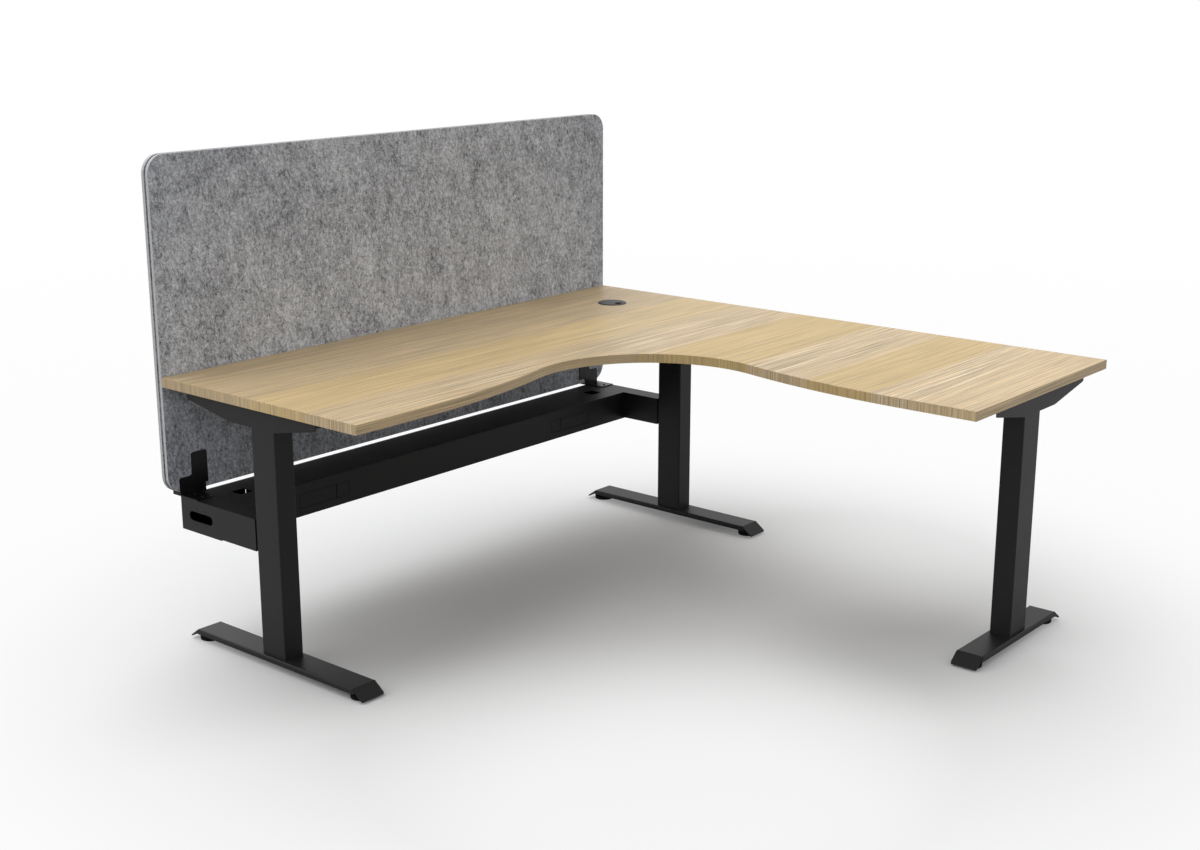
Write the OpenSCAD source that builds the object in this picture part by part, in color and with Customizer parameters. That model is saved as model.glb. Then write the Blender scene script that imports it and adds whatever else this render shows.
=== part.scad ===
// Screened corner workstation: an L-shaped wave-front top on three T-legs,
// a closed cable beam under its rear edge, and a felt screen clamped to that beam.
// Millimetres, +Z up, floor at z = 0, origin under the middle of the overall box.
// Side A runs along X with the screen behind it, side B is the return along -Y.

/* [Top] */
// Length of side A, along the screen
side_a = 1800; // [1640:10:2000]
// Length of side B, the return
side_b = 1800; // [1640:10:2000]
// Depth of the top at both ends
top_depth = 750; // [700:5:800]
// Height of the top surface above the floor
top_height = 730; // [680:5:800]
// Thickness of the top
top_t = 25; // [19:1:30]
// Thickness of the edging strips
edging_t = 2; // [1:0.5:3]
// How far the wave front draws in from the end depth
wave_dip = 75; // [50:5:100]
// Distance of the wave's narrowest points from the outer corner
wave_reach = 1005; // [980:5:1040]
// Radius of the swell that leads back to the full depth
swell_r = 2000; // [1600:50:2200]

/* [Grommet] */
// Distance of the cable grommet from both outer edges
grommet_inset = 230; // [160:5:300]
// Radius of the hole in the top
grommet_hole_r = 40; // [36:1:42]
// Radius of the grommet's flange
grommet_flange_r = 46; // [44:1:50]
// Height of the flange above the top
grommet_flange_h = 2.5; // [2:0.5:4]
// Wall of the grommet's sleeve
grommet_wall = 2.5; // [2:0.5:3]
// Radius of the turning cap
grommet_cap_r = 36; // [33:0.5:36.5]
// Thickness of the cap with its clearance
cap_t = 3; // [2.5:0.25:4]
// Half width of the cable notch in the cap
notch_r = 13; // [9:0.5:14]
// Distance of the cable notch's middle from the cap's rim
notch_l = 10; // [6:1:14]

/* [Screen] */
// Height of the screen panel
screen_h = 900; // [600:10:1000]
// Thickness of each felt skin
felt_t = 10; // [8:1:12]
// Thickness of the core between the skins
core_t = 7; // [5:1:9]
// How far the core stays back from the skins' edges
core_inset = 6; // [4:1:10]
// Corner radius of the screen
screen_r = 50; // [30:5:80]
// Slit between the cable beam and the screen
screen_slit = 8; // [7:1:12]
// Gap between the top's rear edge and the screen
screen_gap = 1; // [1:0.5:4]

/* [Legs] */
// Long side of the column section, along the foot
column_l = 90; // [84:1:104]
// Short side of the column section
column_w = 60; // [54:1:64]
// Distance between the two bolts in each end of a column
column_bolt_pitch = 43; // [36:1:50]
// Wall of the column tube
column_wall = 2.5; // [2:0.5:4]
// Corner radius of the column tube
column_r = 3; // [2.5:0.5:6]
// Thickness of the plugs welded into the column's ends
plug_t = 10; // [8:1:12]
// Distance from the top's end edge to a column
column_inset = 34; // [30:1:50]
// Distance from the rear edge to the middle of the side A columns
column_y = 361.5; // [340:0.5:380]
// Distance from the outer edge of the return to the middle of its column
column_b = 369; // [350:1:390]

/* [Feet] */
// Length of the two side A feet
foot_l = 690; // [600:10:700]
// Length of the return's foot
foot_b_l = 494; // [480:2:600]
// Width of a foot
foot_w = 78; // [74:1:84]
// Height of a foot's upper face
foot_h = 34; // [32:0.5:40]
// Sheet thickness of a foot
foot_t = 3; // [2.5:0.5:3.5]
// Depth of a foot's side skirts
skirt_h = 15; // [12:0.5:18]
// How far a skirt's tapered end runs on past the fold
skirt_run = 10; // [8:0.5:12]
// How far its lower edge runs on past the fold
skirt_land = 2; // [0:0.5:4]
// Length of the slanted nose
nose_run = 36.5; // [32:0.5:40]
// Drop of the slanted nose
nose_drop = 26.5; // [22:0.5:28]
// Radius of the nose's lower corners
nose_r = 7; // [5:1:12]
// How far the nose's flap stays inside the foot's width on each side
flap_inset = 1; // [0.5:0.5:4]
// Outer bend radius along a foot's upper edges
foot_bend_r = 4; // [4:0.5:6]

/* [Levelling feet] */
// Radius of a levelling pad
glide_r = 30; // [26:0.5:30]
// Height of a levelling pad
glide_h = 10; // [8:0.5:10]
// Distance of a pad's middle from the end of its foot
glide_inset = 42; // [42:1:60]
// Radius of the threaded stem
stem_r = 5; // [4:0.5:6]
// Corner radius of the long nut over a stem
nut_r = 9; // [8:0.5:10]
// Bevel round a pad's upper edge
glide_bevel = 2; // [1:0.5:3]
// How far a stem ends below its foot's sheet
stem_short = 4; // [2:0.5:5]
// Running clearance of the stem in its nut
stem_gap = 0.05; // [0.03:0.01:0.08]

/* [Support arms] */
// Depth of a support arm over the column
arm_h = 61; // [50:1:70]
// Length of an arm's rear part that keeps the full depth
arm_flat = 86; // [60:1:100]
// Reach of an arm in front of its column
arm_front = 158; // [130:1:180]
// Reach of an arm behind its column
arm_rear = 258; // [200:1:270]
// Depth of an arm at its front tip
arm_front_h = 33; // [28:1:40]
// Depth of an arm at its rear tip
arm_rear_h = 30; // [26:1:36]
// Corner radius of the tips
arm_tip_r = 5; // [4:1:14]
// Sheet thickness of the support arms
arm_t = 3; // [2:0.5:4]
// Distance of the end screws from an arm's tips
arm_screw_end = 40; // [30:5:60]
// Distance of the inner screws from an arm's deep part
arm_screw_in = 30; // [20:5:40]

/* [Rails] */
// Width of the rails between the support arms
rail_w = 50; // [40:1:60]
// Height of the rails between the support arms
rail_h = 25; // [20:1:30]
// Wall of the rails
rail_wall = 2; // [1.5:0.5:3]
// Thickness of the rails' end plates
rail_plate_t = 4; // [3:0.5:5]
// Gap between the rails and the top
rail_gap = 1; // [0.5:0.5:2]
// Distance of an end plate's screws from the side A rail
rail_lug = 8; // [7:0.5:9]
// Distance of the return rail's end screws from its middle
rail_b_bolt_y = 17; // [16:1:20]

/* [Cable beam] */
// Drop from the top surface to the beam's upper face
beam_drop = 331; // [280:1:360]
// Height of the beam
beam_h = 90; // [80:1:110]
// Depth of the beam
beam_d = 166; // [150:1:180]
// Gap between the beam's back and the plane of the rear edge
beam_back = 2; // [2:0.5:6]
// Sheet thickness of the beam
beam_t = 2; // [1.5:0.5:3]
// Sheet thickness of the beam's floor, which passes under the arms
beam_floor_t = 3; // [2:0.5:4]
// Width of the fixed lip along the beam's front
lip_w = 16; // [12:1:24]
// Width of the ledge that carries the lid
ledge_w = 8; // [6:1:12]
// Gap round the lid
lid_gap = 0.5; // [0.3:0.1:1]
// Length of the cable hole at each end of the lid
cable_hole_l = 42; // [36:1:60]
// Width of the cable holes
cable_hole_w = 42; // [30:1:50]
// Distance of a cable hole's middle from the beam's end
cable_hole_inset = 134; // [120:1:200]
// How far the cable holes stand in front of the beam's middle
cable_hole_fwd = 6; // [0:1:12]
// Distance of the tie slots in the beam's back from its ends
tie_slot_inset = 214; // [160:1:300]
// Width of a tie slot
tie_slot_w = 3; // [2:0.5:5]
// Height of a tie slot
tie_slot_h = 40; // [20:1:60]

/* [Beam arms] */
// Wall of the beam arms
beam_arm_wall = 3; // [2:0.5:4]
// Thickness of the spacer between a beam arm and its column
spacer_t = 5; // [4:0.5:8]
// How far the spacer stays back from the arm's faces
spacer_inset = 4; // [2:0.5:6]
// Length of the cable slot in an arm's side
slot_l = 98; // [80:1:110]
// Width of the cable slot
slot_w = 26; // [20:1:30]
// Spacing of the inlet screw holes along the arm
slot_hole_y = 38; // [30:1:50]
// Spacing of the inlet screw holes up the arm
slot_hole_z = 42; // [36:1:48]
// Radius of the inlet screw holes
slot_hole_r = 1.75; // [1.5:0.05:2.5]

/* [Socket blanks] */
// Height of the socket blanks
blank_h = 41; // [36:1:46]
// Drop of the blanks' middle below the beam's middle
blank_drop = 2.5; // [0:0.5:6]
// Length of the wide blank
blank_wide = 133; // [120:1:140]
// Length of the narrow blank
blank_narrow = 48; // [44:1:60]
// Distance of the left blanks from the beam's end
blank_left = 268; // [220:1:300]
// Distance of the right blanks from the beam's end
blank_right = 246; // [220:1:300]
// Gap round a blank
blank_gap = 1.3; // [0.6:0.1:2]
// Width of a blank's rim behind the beam's front
blank_rim = 4; // [2:0.5:6]

/* [Screen brackets] */
// Width of a bracket
bracket_w = 92; // [80:1:100]
// Width of a bracket's upright tab
bracket_tab_w = 50; // [44:1:60]
// Height of a bracket's shoulder above the beam
bracket_low = 49; // [40:1:60]
// Height of a bracket's tab above the beam
bracket_high = 112; // [90:1:140]
// Reach of a bracket's sole over the beam arm
bracket_sole = 73; // [60:1:90]
// Sheet thickness of the brackets
bracket_t = 3; // [2:0.5:4]
// Corner radius of the brackets
bracket_r = 8; // [5:1:12]
// Cut on the inner front corner of a bracket's sole
bracket_chamfer = 10; // [5:1:16]
// Width of the notch in the left bracket's inner foot
left_notch_w = 8; // [4:1:20]
// Width of the notch in the right bracket's inner foot
right_notch_w = 29; // [16:1:30]
// Height of the notches
notch_h = 22; // [14:1:28]
// Gap round the pad in a bracket
pad_inset = 1; // [0.5:0.5:2]
// Spacing of the two screws in a bracket's sole
sole_screw_pitch = 35; // [25:1:40]
// Distance of the rear one from the top's rear edge
sole_screw_in = 24; // [20:1:30]

/* [Fasteners] */
// Shank radius of the M8 bolts
bolt_r = 4; // [3:0.5:4]
// Shank radius of the small screws
screw_r = 2; // [1.5:0.25:2.25]
// Corner radius of the bolts' heads and of their nuts
bolt_head_r = 6.5; // [6:0.25:7]
// Height of the bolts' heads
bolt_head_h = 5; // [4:0.5:5.5]
// Height of the nuts behind a column's wall
nut_h = 6; // [5:0.5:7]
// How far the bolts run into a plug or past a wall
bolt_bite = 8; // [7.5:0.5:8.5]
// Radius of the small screws' heads
screw_head_r = 4; // [3.5:0.25:4.5]
// Height of the small screws' heads
screw_head_h = 2.5; // [2:0.25:3]
// Clearance round a shank in its hole
shank_gap = 0.1; // [0.05:0.05:0.2]
// Bite of the wood screws into the top
wood_bite = 15; // [10:1:17]
// Clearance between a moving piece and its seat
seat_gap = 0.3; // [0.3:0.05:0.6]

/* [Hidden] */
$fn = 48;

// Small overlap for cuts
cut = 1;

// Sizes worked out from the driving ones
under = top_height - top_t;
screen_t = 2 * felt_t + core_t;
wave_r = wave_reach - top_depth + wave_dip;
beam_top = top_height - beam_drop;
beam_bottom = beam_top - beam_h;
screen_bottom = beam_top + screen_slit;
arm_bottom = under - arm_h;

// The outer corner of the top, placed so that the overall box is centred on the origin
corner_x = side_a / 2;
corner_y = (side_b - screen_gap - screen_t - bracket_t - screw_head_h) / 2;
left_x = corner_x - side_a;
right_y = corner_y - side_b;

// Beam and arms
beam_back_y = corner_y - beam_back;
beam_front_y = beam_back_y - beam_d;
beam_left_x = left_x + column_inset;
beam_right_x = corner_x - column_inset;
beam_mid_z = (beam_top + beam_bottom) / 2;
inner_left_x = beam_left_x + column_w;
inner_right_x = beam_right_x - column_w;
column_back_y = corner_y - column_y + column_l / 2;

// Legs: middle of the column, turn of the leg and length of the foot
LEFT = [left_x + column_inset + column_w / 2, corner_y - column_y, -90, foot_l];
CORNER = [corner_x - column_inset - column_w / 2, corner_y - column_y, -90, foot_l];
RETURN = [corner_x - column_b, right_y + column_inset + column_w / 2, 180, foot_b_l];
LEGS = [LEFT, CORNER, RETURN];

// Wood screws along a support arm
arm_screw_x = [-(column_l / 2 + arm_rear - arm_screw_end), -(column_l / 2 + arm_flat + arm_screw_in),
               column_l / 2 + arm_screw_in, column_l / 2 + arm_front - arm_screw_end];

// Places a leg's parts: local +X points out along the foot towards the user
module on_leg(leg) {
    translate([leg[0], leg[1], 0]) rotate([0, 0, leg[2]]) children();
}

// Rectangle with round corners, centred
module round_rect(l, w, r) {
    square([l - 2 * r, w], center = true);
    square([l, w - 2 * r], center = true);
    for (x = [-1, 1], y = [-1, 1])
        translate([x * (l / 2 - r), y * (w / 2 - r)]) circle(r);
}

// Points along an arc round c, from angle a to angle b
function arc(c, r, a, b, n = 8) =
    [for (i = [0:n]) let (t = a + (b - a) * i / n) c + r * [cos(t), sin(t)]];

// Distance along a side from the outer corner to where the swell starts
function swell_start() =
    let (drop = wave_reach - top_depth)
    wave_reach + sqrt(pow(wave_r + swell_r, 2) - pow(swell_r + drop, 2));

// What the swell takes off one side, seen along that side: e is the inset of the outline
module swell_cut(e) {
    along = swell_start() - wave_reach;
    meet = wave_reach + (wave_r + e) * along / (wave_r + swell_r);
    difference() {
        translate([-swell_start(), -top_depth - cut]) square([swell_start() - meet, wave_dip + 30]);
        translate([-swell_start(), -top_depth + swell_r]) circle(swell_r - e, $fn = 1440);
    }
}

// Outline of the top with its outer corner at the origin, drawn in by e all round
module top_outline(e = 0) {
    difference() {
        union() {
            translate([-side_a + e, -top_depth + e]) square([side_a - 2 * e, top_depth - 2 * e]);
            translate([-top_depth + e, -side_b + e]) square([top_depth - 2 * e, side_b - 2 * e]);
            translate([-wave_reach, -wave_reach]) square([wave_reach - e, wave_reach - e]);
        }
        translate([-wave_reach, -wave_reach]) circle(wave_r + e, $fn = 360);
        swell_cut(e);
        mirror([1, -1]) swell_cut(e);
    }
}

// Solid slice of the top, between two heights
module top_slice(e, z0, z1) {
    translate([corner_x, corner_y, z0]) linear_extrude(z1 - z0) top_outline(e);
}

// Middle of the grommet
module at_grommet(z = 0) {
    translate([corner_x - grommet_inset, corner_y - grommet_inset, z]) children();
}

// Holes for the wood screws of one leg
module top_screw_holes(r, z0, h) {
    for (leg = LEGS) on_leg(leg)
        for (x = arm_screw_x) translate([x, 0, z0]) cylinder(h, r, r);
}

module desktop() {
    color("burlywood") difference() {
        top_slice(edging_t, under, top_height);
        at_grommet(under - cut) cylinder(top_t + 2 * cut, grommet_hole_r, grommet_hole_r, $fn = 96);
        top_screw_holes(screw_r + shank_gap, under - cut, wood_bite + 1 + cut);
    }
}

// One strip of edging as a box between two corners in the top's own plan
module edging_strip(x0, y0, x1, y1) {
    color("tan") translate([corner_x + x0, corner_y + y0, under]) cube([x1 - x0, y1 - y0, top_t]);
}

module edging_rear() {
    edging_strip(-side_a, -edging_t, 0, 0);
}

module edging_left() {
    edging_strip(-side_a, -top_depth + edging_t, -side_a + edging_t, -edging_t);
}

module edging_outer() {
    edging_strip(-edging_t, -side_b, 0, -edging_t);
}

module edging_right() {
    edging_strip(-top_depth + edging_t, -side_b, -edging_t, -side_b + edging_t);
}

module edging_wave() {
    color("tan") difference() {
        top_slice(0, under, top_height);
        top_slice(edging_t, under - cut, top_height + cut);
        translate([corner_x - side_a - cut, corner_y - top_depth + edging_t, under - cut])
            cube([edging_t + cut, top_depth, top_t + 2 * cut]);
        translate([corner_x - top_depth + edging_t, corner_y - side_b - cut, under - cut])
            cube([top_depth, edging_t + cut, top_t + 2 * cut]);
        translate([corner_x - side_a - cut, corner_y - edging_t, under - cut])
            cube([side_a + 2 * cut, edging_t + cut, top_t + 2 * cut]);
        translate([corner_x - edging_t, corner_y - side_b - cut, under - cut])
            cube([edging_t + cut, side_b + 2 * cut, top_t + 2 * cut]);
    }
}

// Grommet: a flanged sleeve, with a step that carries the turning cap
module grommet_ring() {
    sleeve_r = grommet_hole_r - shank_gap;
    bore_r = sleeve_r - grommet_wall - 2;
    color("dimgray") at_grommet() rotate_extrude($fn = 96) polygon([
        [bore_r, under + 5], [sleeve_r, under + 5], [sleeve_r, top_height],
        [grommet_flange_r, top_height], [grommet_flange_r, top_height + 0.8],
        [grommet_flange_r - 2, top_height + grommet_flange_h],
        [grommet_cap_r + seat_gap, top_height + grommet_flange_h],
        [grommet_cap_r + seat_gap, top_height + grommet_flange_h - cap_t],
        [bore_r, top_height + grommet_flange_h - cap_t]]);
}

module grommet_cap() {
    cap_z = top_height + grommet_flange_h - cap_t + seat_gap;
    color("gray") at_grommet(cap_z) difference() {
        cylinder(cap_t - seat_gap, grommet_cap_r, grommet_cap_r, $fn = 96);
        translate([-notch_r, -grommet_cap_r - cut, -cut]) cube([2 * notch_r, notch_l + cut, cap_t + 2 * cut]);
        translate([0, notch_l - grommet_cap_r, -cut]) cylinder(cap_t + 2 * cut, notch_r, notch_r);
    }
}

// A layer of the screen: y0 is its front face behind the screen's front, e its inset
module screen_layer(y0, t, e) {
    translate([corner_x - side_a / 2, corner_y + screen_gap + y0 + t, screen_bottom + screen_h / 2])
        rotate([90, 0, 0]) linear_extrude(t)
            round_rect(side_a - 2 * e, screen_h - 2 * e, screen_r - e);
}

module screen_front_felt() {
    color("gray") screen_layer(0, felt_t, 0);
}

module screen_core() {
    color("dimgray") difference() {
        screen_layer(felt_t, core_t, core_inset);
        screen_screw_shanks(screw_r + shank_gap, screen_t + cut);
    }
}

module screen_back_felt() {
    color("gray") difference() {
        screen_layer(felt_t + core_t, felt_t, 0);
        screen_screw_shanks(screw_r + shank_gap, screen_t + cut);
    }
}

// Sides of the brackets: 1 is the left one, -1 the right one, which mirrors it
module on_bracket(side) {
    x = side > 0 ? beam_left_x : beam_right_x;
    translate([x, corner_y + screen_gap, beam_top]) scale_x(side) children();
}

module scale_x(side) {
    if (side > 0) children();
    else mirror([1, 0, 0]) children();
}

// Stepped upright of a bracket, drawn in X and Z
bracket_tab_x = bracket_w - bracket_tab_w;
sole_w = column_w - 2;
module bracket_outline(foot_l) {
    square([foot_l, notch_h]);
    translate([0, notch_h]) square([bracket_w, bracket_low - bracket_r - notch_h]);
    translate([bracket_r, notch_h]) square([bracket_w - bracket_r, bracket_low - notch_h]);
    translate([bracket_r, bracket_low - bracket_r]) circle(bracket_r);
    translate([bracket_tab_x, bracket_low - bracket_r])
        square([bracket_tab_w, bracket_high - bracket_low]);
    translate([bracket_tab_x + bracket_r, bracket_low])
        square([bracket_tab_w - 2 * bracket_r, bracket_high - bracket_low]);
    for (x = [bracket_tab_x + bracket_r, bracket_w - bracket_r])
        translate([x, bracket_high - bracket_r]) circle(bracket_r);
    difference() {
        translate([bracket_tab_x - bracket_r, bracket_low - bracket_r])
            square([2 * bracket_r, 2 * bracket_r]);
        translate([bracket_tab_x - bracket_r, bracket_low + bracket_r]) circle(bracket_r);
    }
}

module bracket_upright(y0, foot_l) {
    translate([0, y0 + bracket_t, 0]) rotate([90, 0, 0]) linear_extrude(bracket_t) bracket_outline(foot_l);
}

// Length of a bracket's foot, short of its notch
function bracket_foot(side) = bracket_w - (side > 0 ? left_notch_w : right_notch_w);

sole_screw_y = [-sole_screw_in - sole_screw_pitch, -sole_screw_in];
module screen_bracket(side) {
    color("#202022") on_bracket(side) difference() {
        union() {
            bracket_upright(-bracket_t, bracket_foot(side));
            bracket_upright(screen_t, bracket_foot(side));
            translate([0, -bracket_t, 0])
                cube([bracket_foot(side), screen_t + 2 * bracket_t, bracket_t]);
            linear_extrude(bracket_t) polygon([[0, -bracket_sole],
                [sole_w - bracket_chamfer, -bracket_sole], [sole_w, bracket_chamfer - bracket_sole],
                [sole_w, 0], [0, 0]]);
        }
        for (y = sole_screw_y) translate([column_w / 2, y, -cut])
            cylinder(bracket_t + 2 * cut, screw_r + shank_gap, screw_r + shank_gap);
        for (p = screen_screw_at) translate([p[0], screen_t - cut, p[1]]) rotate([-90, 0, 0])
            cylinder(bracket_t + 2 * cut, screw_r + shank_gap, screw_r + shank_gap);
    }
}

module left_screen_bracket() {
    screen_bracket(1);
}

module right_screen_bracket() {
    screen_bracket(-1);
}

module screen_pad(side) {
    color("#18181a") on_bracket(side)
        translate([pad_inset, pad_inset, bracket_t])
            cube([bracket_foot(side) - 2 * pad_inset, screen_t - 2 * pad_inset, screen_slit - bracket_t]);
}

module left_screen_pad() {
    screen_pad(1);
}

module right_screen_pad() {
    screen_pad(-1);
}

// Screw with a domed head: the head's underside is at z = 0 and the shank points down
module screw(shank_l) {
    translate([0, 0, -shank_l]) cylinder(shank_l, screw_r, screw_r);
    cylinder(screw_head_h, screw_head_r, screw_head_r * 0.7);
}

module bracket_screws() {
    color("#303034") for (side = [1, -1]) on_bracket(side) for (y = sole_screw_y)
        translate([column_w / 2, y, bracket_t]) screw(bracket_t + beam_arm_wall);
}

screen_screw_at = [[bracket_tab_x + bracket_tab_w / 2, bracket_low - 14],
                   [bracket_tab_x + bracket_tab_w / 2, bracket_high - 20]];
screen_screw_bite = bracket_t + felt_t + core_t;
module screen_screw_shanks(r, depth) {
    for (side = [1, -1]) on_bracket(side) for (p = screen_screw_at)
        translate([p[0], depth, p[1]]) rotate([90, 0, 0]) cylinder(depth - felt_t - 1, r, r);
}

module screen_screws() {
    color("#303034") for (side = [1, -1]) on_bracket(side) for (p = screen_screw_at)
        translate([p[0], screen_t + bracket_t, p[1]]) rotate([-90, 0, 0])
            screw(screen_screw_bite - 2);
}

// Box between two corners
module box(p, q) {
    translate(p) cube(q - p);
}

// Cable beam: a folded channel, shown closed by its lid
module beam_channel() {
    lip_z = beam_top - beam_t;
    color("#26262a") difference() {
        union() {
            box([beam_left_x, beam_front_y, beam_bottom],
                [beam_right_x, beam_back_y, beam_bottom + beam_floor_t]);
            box([inner_left_x, beam_front_y, beam_bottom],
                [inner_right_x, beam_front_y + beam_t, beam_top]);
            box([inner_left_x, beam_back_y - beam_t, beam_bottom],
                [inner_right_x, beam_back_y, beam_top]);
            box([inner_left_x, beam_front_y, lip_z], [inner_right_x, beam_front_y + lip_w, beam_top]);
        }
        for (x = [blanks_l_x, blanks_r_x - blank_wide - blank_narrow])
            box([x, beam_front_y - cut, blank_z],
                [x + blank_wide + blank_narrow, beam_front_y + beam_t + cut, blank_z + blank_h]);
        for (x = [beam_left_x + tie_slot_inset, beam_right_x - tie_slot_inset])
            box([x - tie_slot_w / 2, beam_back_y - beam_t - cut, beam_mid_z - tie_slot_h / 2],
                [x + tie_slot_w / 2, beam_back_y + cut, beam_mid_z + tie_slot_h / 2]);
    }
}

// Folded ledges inside the channel that carry the lid
module lid_ledges() {
    ledge_z = beam_top - beam_t - seat_gap;
    color("#26262a") for (y = [beam_front_y + beam_t, beam_back_y - beam_t - lip_w - ledge_w])
        box([inner_left_x, y, ledge_z - beam_t], [inner_right_x, y + lip_w + ledge_w, ledge_z]);
}

module cable_hole(x) {
    y = (beam_front_y + beam_back_y) / 2 - cable_hole_fwd;
    box([x - cable_hole_l / 2, y - cable_hole_w / 2, beam_top - 3 * beam_t],
        [x + cable_hole_l / 2, y + cable_hole_w / 2, beam_top + cut]);
}

module beam_lid() {
    color("#2a2a2e") difference() {
        box([inner_left_x + lid_gap, beam_front_y + lip_w + lid_gap, beam_top - beam_t],
            [inner_right_x - lid_gap, beam_back_y - beam_t - lid_gap, beam_top]);
        cable_hole(beam_left_x + cable_hole_inset);
        cable_hole(beam_right_x - cable_hole_inset);
    }
}

// Beam arms: box sections from the columns back to the screen, with a cable slot
slot_y = beam_back_y - beam_d / 2;
module slot_shape(l, w) {
    square([l - w, w], center = true);
    for (s = [-1, 1]) translate([s * (l - w) / 2, 0]) circle(w / 2);
}

module beam_arm(x0) {
    x1 = x0 + column_w;
    z0 = beam_bottom + beam_floor_t;
    front = column_back_y + spacer_t;
    w = beam_arm_wall;
    color("#28282c") difference() {
        box([x0, front, z0], [x1, beam_back_y, beam_top]);
        box([x0 + w, front + w, z0 + w], [x1 - w, beam_back_y - w, beam_top - w]);
        translate([x0 - cut, slot_y, beam_mid_z]) rotate([90, 0, 90])
            linear_extrude(column_w + 2 * cut) slot_shape(slot_l, slot_w);
        for (y = [-1, 1], z = [-1, 1])
            translate([x0 - cut, slot_y + y * slot_hole_y / 2, beam_mid_z + z * slot_hole_z / 2])
                rotate([0, 90, 0]) cylinder(column_w + 2 * cut, slot_hole_r, slot_hole_r);
        sole_screw_holes();
        beam_bolt_shanks(bolt_r + shank_gap);
    }
}

module sole_screw_holes() {
    for (side = [1, -1]) on_bracket(side) for (y = sole_screw_y)
        translate([column_w / 2, y, -beam_arm_wall - cut])
            cylinder(beam_arm_wall + 2 * cut, screw_r + shank_gap, screw_r + shank_gap);
}

module left_beam_arm() {
    beam_arm(beam_left_x);
}

module right_beam_arm() {
    beam_arm(inner_right_x);
}

module beam_spacer(x0) {
    color("#101012") difference() {
        box([x0 + spacer_inset, column_back_y, beam_bottom + beam_floor_t + spacer_inset],
            [x0 + column_w - spacer_inset, column_back_y + spacer_t, beam_top - spacer_inset]);
        beam_bolt_shanks(bolt_r + shank_gap);
    }
}

module left_beam_spacer() {
    beam_spacer(beam_left_x);
}

module right_beam_spacer() {
    beam_spacer(inner_right_x);
}

// Bolts from inside each beam arm, through its front wall and the spacer, into the column
beam_bolt_z = [-24, 24];
module at_beam_bolts() {
    for (x = [beam_left_x, inner_right_x], z = beam_bolt_z)
        translate([x + column_w / 2, column_back_y + spacer_t + beam_arm_wall, beam_mid_z + z])
            rotate([-90, 0, 0]) children();
}

module beam_bolt_shanks(r) {
    depth = spacer_t + beam_arm_wall + column_wall + bolt_bite;
    at_beam_bolts() translate([0, 0, -depth]) cylinder(depth + cut, r, r);
}

module beam_bolts() {
    depth = spacer_t + beam_arm_wall + column_wall + bolt_bite - 2;
    color("#3a3a3e") at_beam_bolts() {
        translate([0, 0, -depth]) cylinder(depth, bolt_r, bolt_r);
        cylinder(bolt_head_h, bolt_head_r, bolt_head_r, $fn = 6);
        translate([0, 0, -(spacer_t + beam_arm_wall + column_wall) - nut_h])
            cylinder(nut_h, bolt_head_r, bolt_head_r, $fn = 6);
    }
}

// Socket blanks: left end of each and its length
blanks_l_x = beam_left_x + blank_left;
blanks_r_x = beam_right_x - blank_right;
LEFT_WIDE = [blanks_l_x, blank_wide];
LEFT_NARROW = [blanks_l_x + blank_wide, blank_narrow];
RIGHT_NARROW = [blanks_r_x - blank_wide - blank_narrow, blank_narrow];
RIGHT_WIDE = [blanks_r_x - blank_wide, blank_wide];
blank_z = beam_mid_z - blank_drop - blank_h / 2;

// A blank: its face lies flush in the window, and its rim bears on the beam from behind;
// l and r say whether the rim runs on past the face's left and right ends
module blank(b, l, r) {
    g = blank_gap;
    color("#222226") {
        box([b[0] + g, beam_front_y, blank_z + g],
            [b[0] + b[1] - g, beam_front_y + beam_t, blank_z + blank_h - g]);
        box([b[0] + g - l * (g + blank_rim), beam_front_y + beam_t, blank_z - blank_rim],
            [b[0] + b[1] - g + r * (g + blank_rim), beam_front_y + 2 * beam_t,
             blank_z + blank_h + blank_rim]);
    }
}

module left_wide_blank() {
    blank(LEFT_WIDE, 1, 0);
}

module left_narrow_blank() {
    blank(LEFT_NARROW, 0, 1);
}

module right_wide_blank() {
    blank(RIGHT_WIDE, 0, 1);
}

module right_narrow_blank() {
    blank(RIGHT_NARROW, 1, 0);
}

// Column: a tube with a plug welded into each end for the bolts
module column(leg) {
    l = column_l - 2 * column_wall;
    w = column_w - 2 * column_wall;
    color("#26262a") difference() {
        on_leg(leg) difference() {
            union() {
                translate([0, 0, foot_h]) linear_extrude(arm_bottom - foot_h) difference() {
                    round_rect(column_l, column_w, column_r);
                    round_rect(l, w, column_r - 1);
                }
                for (z = [foot_h, arm_bottom - plug_t])
                    translate([-l / 2, -w / 2, z]) cube([l, w, plug_t]);
            }
            for (x = [-1, 1], z = [foot_h, arm_bottom - plug_t])
                translate([x * column_bolt_pitch / 2, 0, z - cut])
                    cylinder(plug_t + 2 * cut, bolt_r + shank_gap, bolt_r + shank_gap);
        }
        beam_bolt_shanks(bolt_r + shank_gap);
    }
}

module left_column() {
    column(LEFT);
}

module corner_column() {
    column(CORNER);
}

module return_column() {
    column(RETURN);
}

// Foot: a bent channel with a slanted nose at each end
nose_angle = atan(nose_drop / nose_run);
fold_dx = foot_t * tan(nose_angle / 2);
skirt_low = foot_h - skirt_h;

// Cross-section of a foot's channel, with its upper edges bent round
module foot_section() {
    r = foot_bend_r;
    for (s = [-1, 1]) difference() {
        translate([s * (foot_w / 2 - r), foot_h - r]) circle(r);
        translate([s * (foot_w / 2 - r), foot_h - r]) circle(r - foot_t);
        translate([s * (foot_w / 2 - 2 * r), foot_h - r]) square([2 * r, 4 * r], center = true);
        translate([s * (foot_w / 2 - r), foot_h - 2 * r]) square([4 * r, 2 * r], center = true);
    }
    translate([r - foot_w / 2, foot_h - foot_t]) square([foot_w - 2 * r, foot_t]);
    for (y = [-foot_w / 2, foot_w / 2 - foot_t])
        translate([y, skirt_low]) square([foot_t, skirt_h - r]);
}

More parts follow.
